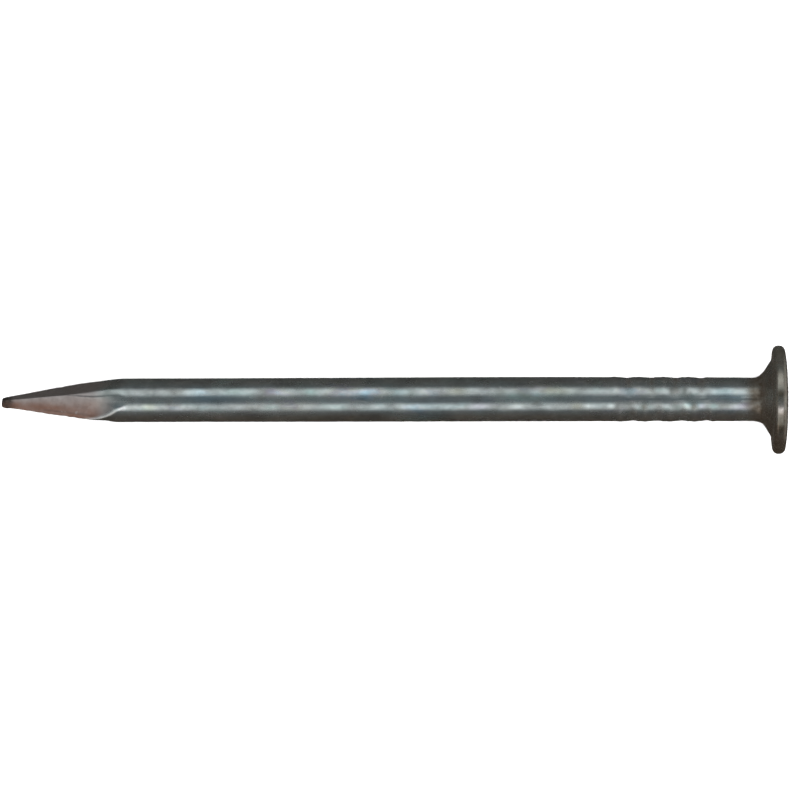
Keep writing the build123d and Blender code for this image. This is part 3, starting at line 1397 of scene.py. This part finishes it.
@dataclass
class Nail:
    """The whole nail: one length of wire with its head, shank and point, as one closed surface.

    bow is how far the shank bends towards +Y at bow_x, and the polish gain how much a full polish brightens a
    patch's colour, a painted highlight, and a full dullness darkens it, a painted shade.
    """

    length: float
    shank_radius: float
    head_radius: float
    face_height: float
    point_from: float = -36.9
    bow: float = 0.022
    bow_x: float = -13.5
    bow_length: float = 8.0
    stain_and_light_patches: tuple[StainAndLightPatch, ...] = STAIN_AND_LIGHT_PATCHES
    painted_sheen_gain: float = 0.28

    @staticmethod
    def from_frame() -> "Nail":
        """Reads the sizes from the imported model's box and mounts.

        Returns:
            The nail, ready to build.
        """
        low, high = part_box(NODE)
        mounts = {m["name"]: m for m in frame["record"]["mounts"]}
        return Nail(
            length=-low.x / MM,
            shank_radius=mounts["shank"]["dims"]["r_mm"],
            head_radius=high.z / MM,
            face_height=mounts["struck_face"]["pos_m"][0] / MM,
        )

    def parts(self) -> tuple[Head, Shank, Point]:
        """The three regions, sized to fit each other.

        Returns:
            Head, shank and point.
        """
        head = Head(self.head_radius, self.face_height, self.shank_radius)
        shank = Shank(self.shank_radius, head.neck_end, self.point_from)
        point = Point(self.shank_radius, self.length, self.point_from)
        return head, shank, point

    def build(self) -> bpy.types.Object:
        """Builds the piece: rings of columns from the struck face's middle to the tip, closed by fans.

        Returns:
            The piece, with its regions, masks, tint with its painted highlights and shade, and polish, but
            without materials.
        """
        head, shank, point = self.parts()
        angle = Columns(point.first_ridge).angles()
        skins = [head.skin(angle), shank.skin(angle), point.skin(angle, shank)]
        skin = Skin.joined(skins)
        row_region = np.repeat(np.arange(3), [s.x.shape[0] for s in skins])

        rings = slice(1, -1)
        x, r = skin.x[rings], skin.radius[rings]
        rows, columns = x.shape
        off_line = self.bow * bell(x, self.bow_x, self.bow_length)
        places = np.stack([x, r * np.sin(angle) + off_line, r * np.cos(angle)], axis=-1).reshape(-1, 3)
        face_middle = [skin.x[0].mean(), 0.0, 0.0]
        tip = [skin.x[-1].mean(), *places[-columns:, 1:].mean(axis=0)]
        places = np.vstack([places, face_middle, tip]) * MM
        region = np.repeat(row_region[1:-2], columns)
        region = np.concatenate([region, np.zeros(columns), np.full(columns, 2)])
        mesh = self.mesh(places, rows, columns, region)

        for name in MASKS:
            mask = getattr(skin, name)
            write_values(mesh, name, mask[rings], [mask[0].mean(), mask[-1].mean()])
        # The tint carries the film's tints and the patches' painted highlights and shade.
        tint, polish = self.stains_and_light(x, np.broadcast_to(angle, x.shape))
        write_values(mesh, "polish", polish, [0.0, 0.0])
        tint = np.vstack([tint.reshape(-1, 3), np.ones((2, 3))])
        tint = np.hstack([tint, np.ones((len(tint), 1))]).astype(np.float32)
        mesh.attributes.new("tint", "FLOAT_COLOR", "POINT").data.foreach_set("color", tint.ravel())
        LOG.info("nail_wire: %d vertices, %d faces", len(mesh.vertices), len(mesh.polygons))
        return linked("nail_wire", mesh)

    def mesh(self, places: Array, rows: int, columns: int, region: Array) -> bpy.types.Mesh:
        """The mesh of a closed tube: quads between the rings, and a fan of triangles at each end.

        Args:
            places: the rings' points, row by row, then the middle of the first fan and of the last.
            rows: how many rings there are.
            columns: how many points a ring has.
            region: the material's number of each quad, then of each triangle.

        Returns:
            The mesh, with smooth faces that point outwards.
        """
        index = np.arange(rows * columns).reshape(rows, columns)
        after = np.roll(index, -1, axis=1)
        quads = np.stack([index[:-1], index[1:], after[1:], after[:-1]], axis=-1)
        first, last = rows * columns, rows * columns + 1
        near = np.stack([np.full(columns, first), index[0], after[0]], axis=-1)
        far = np.stack([np.full(columns, last), after[-1], index[-1]], axis=-1)
        loops = np.concatenate([quads.ravel(), near.ravel(), far.ravel()]).astype(np.int32)
        sizes = np.concatenate([np.full((rows - 1) * columns, 4), np.full(2 * columns, 3)])
        starts = np.concatenate([[0], np.cumsum(sizes)[:-1]]).astype(np.int32)

        mesh = bpy.data.meshes.new("nail_wire")
        mesh.vertices.add(len(places))
        mesh.vertices.foreach_set("co", places.astype(np.float32).ravel())
        mesh.loops.add(len(loops))
        mesh.loops.foreach_set("vertex_index", loops)
        mesh.polygons.add(len(sizes))
        mesh.polygons.foreach_set("loop_start", starts)
        mesh.polygons.foreach_set("material_index", region.astype(np.int32))
        mesh.polygons.foreach_set("use_smooth", np.ones(len(sizes), dtype=bool))
        mesh.update(calc_edges=True)
        mesh.validate()
        return mesh

    def stains_and_light(self, x: Array, angle: Array) -> tuple[Array, Array]:
        """Tint and polish of the whole surface from its patches of film tint and painted light.

        Each patch multiplies the tint by a mix of white and its tone, and adds to the polish, by its
        share. A polished patch is brighter than its tone, a painted highlight, and a dull one darker, a
        painted shade.

        Args:
            x: place along the nail.
            angle: angle about the axis.

        Returns:
            Tint, with three values per place, holding painted highlights and shade, and polish from -1 to 1.
        """
        tint = np.ones((*x.shape, 3))
        polish = np.zeros_like(x)
        for spot in self.stain_and_light_patches:
            share = spot.share(x, angle)
            painted_sheen = 1.0 + self.painted_sheen_gain * spot.polish
            tint *= 1.0 + share[..., None] * (np.array(spot.tone.value) * painted_sheen - 1.0)
            polish += spot.polish * share
        return tint, np.clip(polish, -1.0, 1.0)

    def dress(self, piece: bpy.types.Object, materials: NailMaterials) -> None:
        """Gives each region its material.

        Args:
            piece: the nail's object.
            materials: builds the materials.
        """
        for material in materials.all():
            piece.data.materials.append(material)
            LOG.info("material %s", material.name)


# ==== Floor, light and camera ====


@dataclass
class Floor:
    """Plain pale disc that the nail lies on, touching the head's rim and the point's shoulder, in metres."""

    radius: float = 0.080
    sides: int = 96
    shank_before: float = -0.005

    def build(self, piece: bpy.types.Object) -> bpy.types.Object:
        """Builds the disc under a piece.

        Its plane holds the piece's lowest point, on the rim, and falls towards it with the least slope
        (z - z_rim) / (x_rim - x) that any point of the shank or the point asks for.

        Args:
            piece: what lies on the floor.

        Returns:
            The floor.
        """
        flat = np.empty(len(piece.data.vertices) * 3, dtype=np.float32)
        piece.data.vertices.foreach_get("co", flat)
        places = flat.reshape(-1, 3)
        rim = places[np.argmin(places[:, 2])]
        shank = places[places[:, 0] < self.shank_before]
        slope = float(np.min((shank[:, 2] - rim[2]) / (rim[0] - shank[:, 0])))

        middle = float(places[:, 0].min() + places[:, 0].max()) / 2.0
        turn = np.linspace(0.0, 2.0 * pi, self.sides, endpoint=False)
        x = np.concatenate([middle + self.radius * np.cos(turn), [middle]])
        y = np.concatenate([self.radius * np.sin(turn), [0.0]])
        z = rim[2] + slope * (rim[0] - x)
        order = np.arange(self.sides)
        fan = np.stack([np.full(self.sides, self.sides), order, np.roll(order, -1)], axis=-1)
        mesh = bpy.data.meshes.new("floor")
        mesh.from_pydata(np.stack([x, y, z], axis=-1).tolist(), [], fan.tolist())
        mesh.update()
        floor = linked("floor", mesh)
        floor.data.materials.append(self.card())
        floor.visible_glossy = False
        LOG.info("floor: slope %.4f", slope)
        return floor

    @staticmethod
    def card() -> bpy.types.Material:
        """Matt white card with a faint tooth.

        Returns:
            The material.
        """
        material = bpy.data.materials.new("white_card")
        g = emptied(material)
        vector = g.add("TexCoord").outputs["Object"]
        tooth = g.noise(vector, 2600.0, 4.0, 0.6)
        feeds = {
            "Base Color": g.mix(tooth, (0.93, 0.93, 0.93), (0.96, 0.96, 0.96)),
            "Roughness": g.span(tooth, 0.3, 0.7, 0.85, 0.95),
            "Specular IOR Level": 0.1,
        }
        g.put(g.add("OutputMaterial").inputs[0], g.fed("BsdfPrincipled", feeds))
        return material


@dataclass
class SoftLight:
    """Soft light made of area lights stacked on one another, so that its edge fades.

    turn is measured about X from +Z towards +Y, and lean tips the light towards +X. spread is the angle
    that the light's width fills, and length its size along the nail, in metres. Each layer is a share
    of the spread and of the radiance, and lies gap further away than the one before.
    """

    name: str
    turn: float
    spread: float
    length: float
    radiance: float
    tint: Colour
    lean: float = 0.0
    distance: float = 0.30
    centre_x: float = -0.0215
    gap: float = 0.004
    layers: tuple[tuple[float, float], ...] = ((0.60, 0.34), (1.00, 0.36), (1.40, 0.30))

    def build(self) -> list[bpy.types.Object]:
        """Builds the area lights. Each one's power is pi times its radiance times its area.

        Returns:
            The lights' objects.
        """
        turn, lean = radians(self.turn), radians(self.lean)
        away = Vector((sin(lean), sin(turn) * cos(lean), cos(turn) * cos(lean)))
        along = Vector((1.0, 0.0, 0.0))
        along = (along - away * along.dot(away)).normalized()
        facing = Matrix((along, away.cross(along), away)).transposed().to_4x4()
        lights = []
        for n, (size, share) in enumerate(self.layers):
            distance = self.distance + n * self.gap
            place = Matrix.Translation(Vector((self.centre_x, 0.0, 0.0)) + away * distance)
            width = 2.0 * distance * tan(radians(self.spread * size / 2.0))
            length = self.length * (0.5 + 0.5 * size)
            data = bpy.data.lights.new(f"{self.name}_{n}", "AREA")
            data.shape = "RECTANGLE"
            data.size = length
            data.size_y = width
            data.energy = pi * self.radiance * share * length * width
            data.color = self.tint
            light = linked(data.name, data)
            light.matrix_world = place @ facing
            light.visible_camera = False
            lights.append(light)
        return lights


@dataclass
class Surroundings:
    """World that is white to the camera and to matt surfaces, and a dim room in the steel's reflections.

    The room's colour depends on the ray's direction: a dim ceiling, a neutral side at +Y and a warm one
    at -Y below it, and paler ends that the head's face and the point look into. Each range is the part
    of the direction over which one colour turns into the next.
    """

    white: float = 2.1
    ceiling: Colour = (0.064, 0.084, 0.095)
    far_side: Colour = (0.062, 0.062, 0.058)
    near_side: Colour = (0.060, 0.047, 0.036)
    head_end: Colour = (0.42, 0.42, 0.41)
    point_end: Colour = (0.13, 0.13, 0.125)
    side_range: tuple[float, float] = (-0.35, 0.35)
    ceiling_range: tuple[float, float] = (-0.10, 0.80)
    head_range: tuple[float, float] = (0.55, 0.95)
    point_range: tuple[float, float] = (-0.60, -0.95)
    point_height: tuple[float, float] = (-0.25, 0.25)

    def build(self) -> None:
        """Builds the world's shader."""
        world = bpy.data.worlds.new("soft_room")
        bpy.context.scene.world = world
        g = emptied(world)
        ray = g.add("SeparateXYZ")
        g.put(ray.inputs[0], g.add("TexCoord").outputs["Generated"])
        x, y, z = ray.outputs
        side = g.mix(g.span(y, *self.side_range), self.near_side, self.far_side)
        room = g.mix(g.span(z, *self.ceiling_range), side, self.ceiling)
        room = g.mix(g.span(x, *self.head_range), room, self.head_end)
        past_point = g.maths("MULTIPLY", g.span(x, *self.point_range), g.span(z, *self.point_height))
        room = g.mix(past_point, room, self.point_end)
        glossy = g.add("LightPath").outputs["Is Glossy Ray"]
        feeds = {
            "Color": g.mix(glossy, (1.0, 1.0, 1.0), room),
            "Strength": g.blend(glossy, self.white, 1.0),
        }
        g.put(g.add("OutputWorld").inputs[0], g.fed("Background", feeds))


@dataclass
class Camera:
    """Camera looking straight down on the nail's side.

    Its places and sizes are in metres, and roll turns it about its line of sight, in degrees. sensor
    is in millimetres.
    """

    centre: tuple[float, float] = (-0.02146, -0.00001)
    distance: float = 0.450
    frame_width: float = 0.04612
    sensor: float = 36.0
    roll: float = -0.085

    def build(self) -> bpy.types.Object:
        """Builds the camera: the lens is sensor times distance over the width it frames.

        Returns:
            The camera's object.
        """
        data = bpy.data.cameras.new("camera")
        data.sensor_width = self.sensor
        data.lens = self.sensor * self.distance / self.frame_width
        data.clip_start = 0.01
        data.clip_end = 10.0
        camera = linked("camera", data)
        place = Matrix.Translation((*self.centre, self.distance))
        camera.matrix_world = place @ Matrix.Rotation(radians(self.roll), 4, "Z")
        bpy.context.scene.camera = camera
        return camera


LIGHTS = (
    SoftLight("strip_far", 41.5, 34.0, 0.52, 0.64, (0.96, 1.0, 1.0)),
    SoftLight("strip_near", -38.5, 30.0, 0.52, 0.65, (0.98, 1.0, 1.0)),
    SoftLight("lamp", -62.0, 22.0, 0.12, 0.50, (1.0, 0.88, 0.81), lean=-26.0),
)


def main() -> None:
    """Builds the nail, its floor, lights and camera, in that order."""
    logging.basicConfig(level=logging.INFO, format="%(name)s: %(message)s")
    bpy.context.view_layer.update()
    bpy.context.scene.view_settings.view_transform = "Standard"

    nail = Nail.from_frame()
    piece = nail.build()
    nail.dress(piece, NailMaterials(Effects()))
    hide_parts(NODE)
    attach(piece, BODY)

    Floor().build(piece)
    for light in LIGHTS:
        light.build()
        LOG.info("light %s", light.name)
    Surroundings().build()
    Camera().build()


if __name__ == "__main__":
    main()
